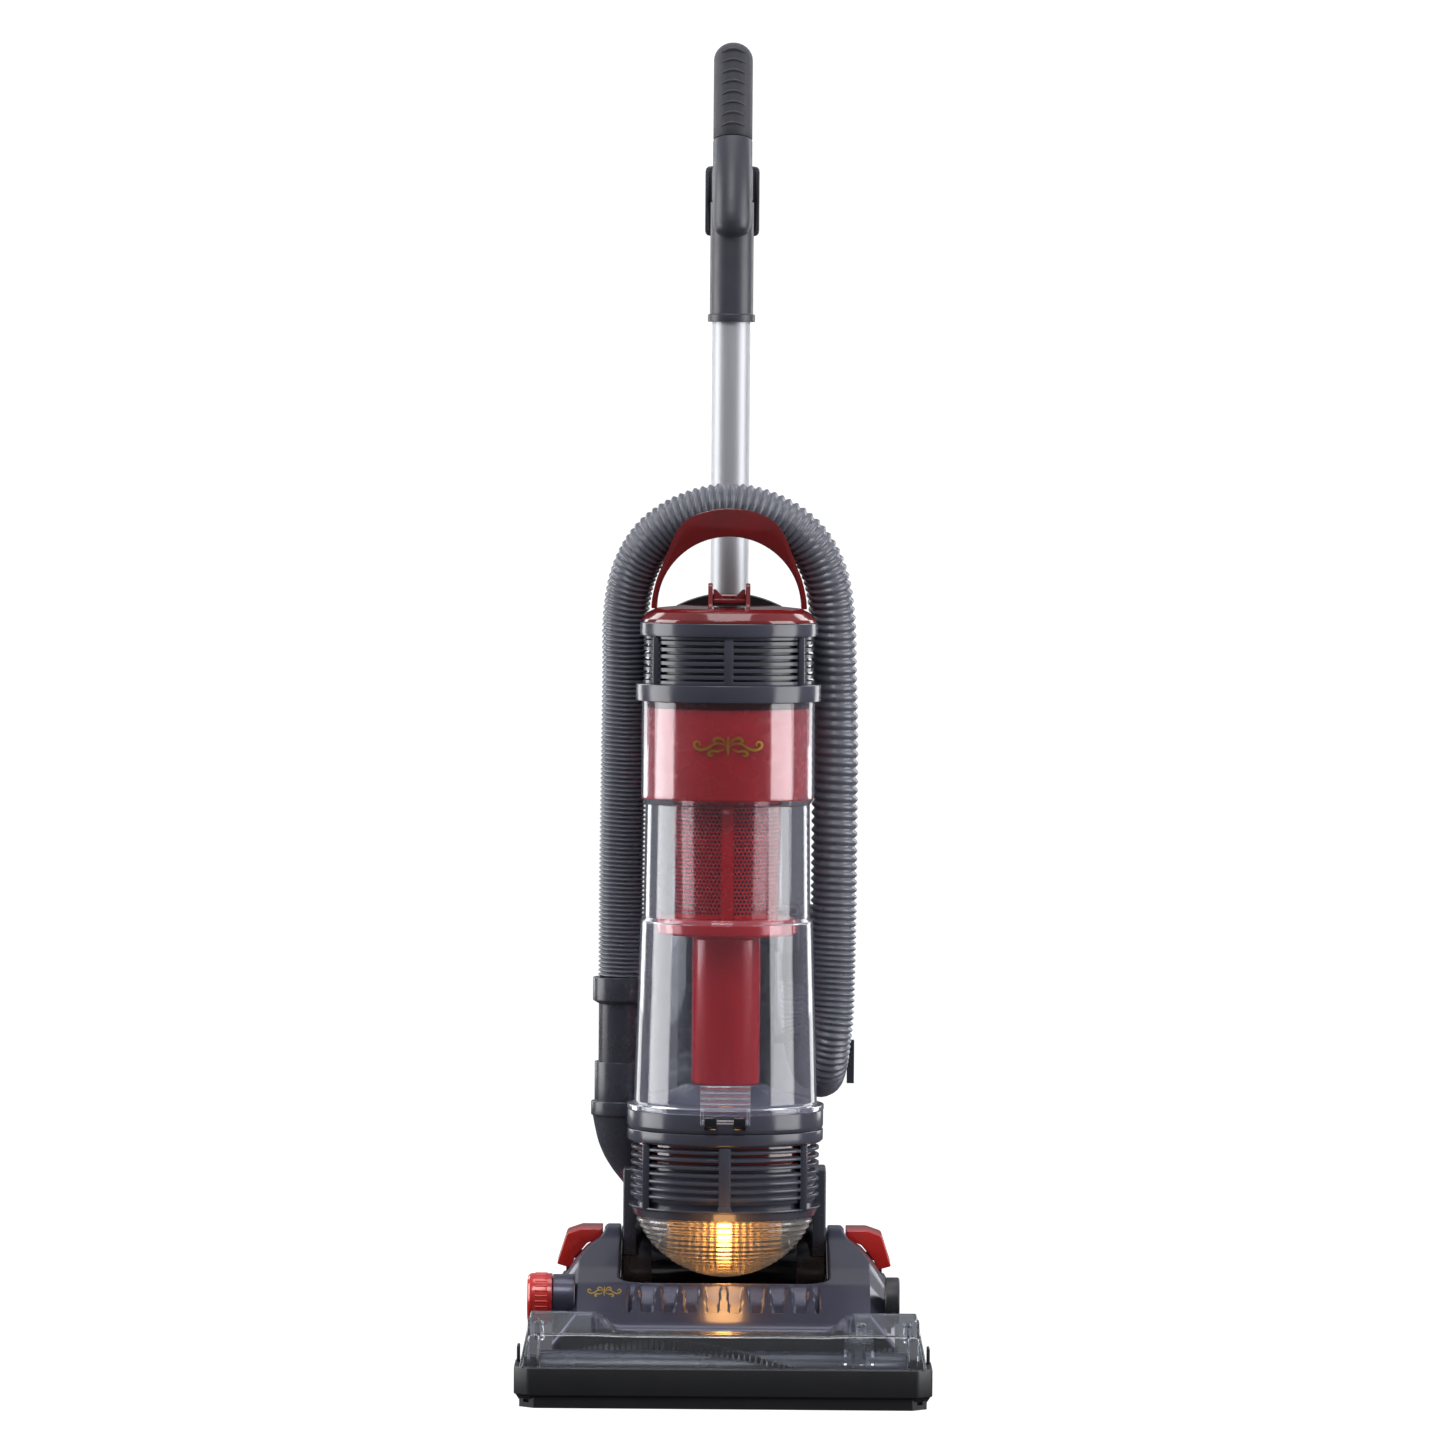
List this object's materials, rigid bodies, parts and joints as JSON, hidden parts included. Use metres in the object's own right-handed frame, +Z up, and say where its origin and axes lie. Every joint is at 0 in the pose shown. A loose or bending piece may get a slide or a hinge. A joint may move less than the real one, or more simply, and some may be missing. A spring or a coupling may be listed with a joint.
{
  "type": "upright vacuum cleaner",
  "caption": "Upright bagless vacuum cleaner: clear dust bin, over-the-top hose and carry handle on a reclining body, with a wide brush head and a front window.",
  "frame": {"origin": "on the floor, in the middle of the outline", "axes": "+X to the viewer's right, +Y to the back of the cleaner, +Z up"},
  "size_m": [0.34, 0.344, 1.131],
  "materials": {
    "cover_metallic": "metallic-effect moulded plastic, satin gloss",
    "dark_grey_plastic": "moulded plastic, semi-gloss",
    "black_plastic": "moulded plastic, fine texture",
    "handle_plastic": "moulded plastic, satin",
    "ruby_plastic": "translucent ruby plastic, gloss",
    "red_plastic": "red moulded plastic, gloss",
    "clear_plastic": "clear polycarbonate, polished",
    "lens_plastic": "clear ribbed lens",
    "hose_plastic": "corrugated flexible plastic",
    "wand_aluminium": "satin drawn tube",
    "soft_rubber": "moulded rubber, matt",
    "black_rubber": "rubber, matt",
    "steel": "turned steel",
    "lamp_glass": "warm lamp",
    "filter_foam": "open foam",
    "bristle": "nylon bristle"
  },
  "bodies": {
    "head": {"head_base": "black_plastic", "bumper": "black_plastic", "head_cover": "cover_metallic", "cover_pan": "black_plastic", "brush_window": "clear_plastic", "belt_guard": "clear_plastic", "brush_bearings": "dark_grey_plastic", "brush_motor": "steel", "drive_belt": "black_rubber", "suction_duct": "black_plastic", "side_cap": "black_plastic", "wheel_axles": "steel"},
    "brush_roll": {"brush_dowel": "dark_grey_plastic", "brush_bristles": "bristle"},
    "brush_drive": {"motor_pulley": "steel"},
    "carriage": {"wheel_carriage": "black_plastic"},
    "front_rollers": {"front_rollers": "black_plastic"},
    "height_knob": {"height_knob": "red_plastic"},
    "wheel_left": {"wheel_left": "black_plastic"},
    "wheel_right": {"wheel_right": "black_plastic"},
    "release_pedal": {"release_pedal": "red_plastic"},
    "power_pedal": {"power_pedal": "red_plastic"},
    "upright": {"lower_housing": "dark_grey_plastic", "vent_grille": "dark_grey_plastic", "headlight_lens": "lens_plastic", "headlight_bowl": "black_plastic", "headlight_bulb": "lamp_glass", "exhaust_filter": "filter_foam", "motor_can": "steel", "yoke_left": "black_plastic", "yoke_right": "black_plastic", "spine": "dark_grey_plastic", "spine_cap": "black_plastic", "port_elbow": "black_plastic", "hose_cuff": "dark_grey_plastic", "hose": "hose_plastic", "inlet_elbow": "black_plastic", "cord_hook_lower": "black_plastic", "cord_gland": "black_rubber"},
    "fan": {"fan_rotor": "wand_aluminium"},
    "wand_button": {"wand_button": "red_plastic"},
    "bin": {"dust_bin": "clear_plastic", "bin_door": "black_plastic", "door_seal": "black_rubber", "bin_lid_ring": "dark_grey_plastic", "red_sleeve": "ruby_plastic", "shroud": "red_plastic", "inner_tube": "red_plastic", "pre_filter": "filter_foam", "filter_cage": "dark_grey_plastic", "lid_ring": "black_plastic", "lid_cap": "ruby_plastic"},
    "bin_latch": {"door_latch": "clear_plastic"},
    "bin_lever": {"lid_lever": "red_plastic"},
    "wand": {"wand_tube": "wand_aluminium", "wand_collar": "handle_plastic", "handle_left": "handle_plastic", "handle_right": "handle_plastic", "grip": "soft_rubber"},
    "cord_hook": {"cord_hook_upper": "handle_plastic"}
  },
  "joints": [
    {"name": "recline", "type": "hinge", "parent": "head", "child": "upright", "pos_m": [0, 0.075, 0.1], "axis": [-1, 0, 0], "range_deg": [0, 70]},
    {"name": "brush_spin", "type": "hinge", "parent": "head", "child": "brush_roll", "pos_m": [0, -0.137, 0.027], "axis": [1, 0, 0], "continuous": true},
    {"name": "drive_spin", "type": "hinge", "parent": "head", "child": "brush_drive", "pos_m": [0.11, -0.0875, 0.04], "axis": [1, 0, 0], "continuous": true},
    {"name": "height_turn", "type": "hinge", "parent": "head", "child": "height_knob", "pos_m": [-0.14, -0.082, 0.08], "axis": [-1, 0, 0], "range_deg": [0, 90]},
    {"name": "carriage_drop", "type": "slide", "parent": "head", "child": "carriage", "axis": [0, 0, -1], "range_m": [0, 0.006]},
    {"name": "rollers_spin", "type": "hinge", "parent": "carriage", "child": "front_rollers", "pos_m": [0, -0.05, 0.009], "axis": [1, 0, 0], "continuous": true},
    {"name": "wheel_left_spin", "type": "hinge", "parent": "head", "child": "wheel_left", "pos_m": [-0.1225, 0.095, 0.032], "axis": [1, 0, 0], "continuous": true},
    {"name": "wheel_right_spin", "type": "hinge", "parent": "head", "child": "wheel_right", "pos_m": [0.1225, 0.095, 0.032], "axis": [1, 0, 0], "continuous": true},
    {"name": "release_press", "type": "hinge", "parent": "head", "child": "release_pedal", "pos_m": [-0.12, 0.0645, 0.104], "axis": [-1, 0, 0], "range_deg": [0, 10], "stiffness_Nm_per_rad": 0.6, "springref_deg": -5.73},
    {"name": "power_press", "type": "hinge", "parent": "head", "child": "power_pedal", "pos_m": [0.12, 0.0645, 0.104], "axis": [-1, 0, 0], "range_deg": [0, 10], "stiffness_Nm_per_rad": 0.6, "springref_deg": -5.73},
    {"name": "fan_spin", "type": "hinge", "parent": "upright", "child": "fan", "pos_m": [0, 0.018, 0.18], "axis": [0, 0, 1], "continuous": true},
    {"name": "wand_release", "type": "slide", "parent": "upright", "child": "wand_button", "axis": [0, -1, 0], "range_m": [0, 0.003], "stiffness_N_per_m": 200, "springref_m": -0.002},
    {"name": "bin_slide", "type": "slide", "parent": "upright", "child": "bin", "axis": [0, -0.9986, 0.0523], "range_m": [0, 0.3]},
    {"name": "latch_press", "type": "hinge", "parent": "bin", "child": "bin_latch", "pos_m": [0, -0.0666, 0.225], "axis": [1, 0, 0], "range_deg": [0, 10], "stiffness_Nm_per_rad": 0.1, "springref_deg": -5.73},
    {"name": "lever_press", "type": "hinge", "parent": "bin", "child": "bin_lever", "pos_m": [0, -0.02, 0.656], "axis": [1, 0, 0], "range_deg": [0, 8], "stiffness_Nm_per_rad": 0.2, "springref_deg": -5.73},
    {"name": "wand_lift", "type": "slide", "parent": "upright", "child": "wand", "axis": [0, 0, 1], "range_m": [0, 0.18]},
    {"name": "hook_turn", "type": "hinge", "parent": "wand", "child": "cord_hook", "pos_m": [0, 0.15, 0.9865], "axis": [0, 1, 0], "range_deg": [0, 180]}
  ],
  "couplings": [
    {"joint": "drive_spin", "follows": "brush_spin", "ratio": 1.5},
    {"joint": "carriage_drop", "follows": "height_turn", "m_per_rad": 0.0038197}
  ]
}
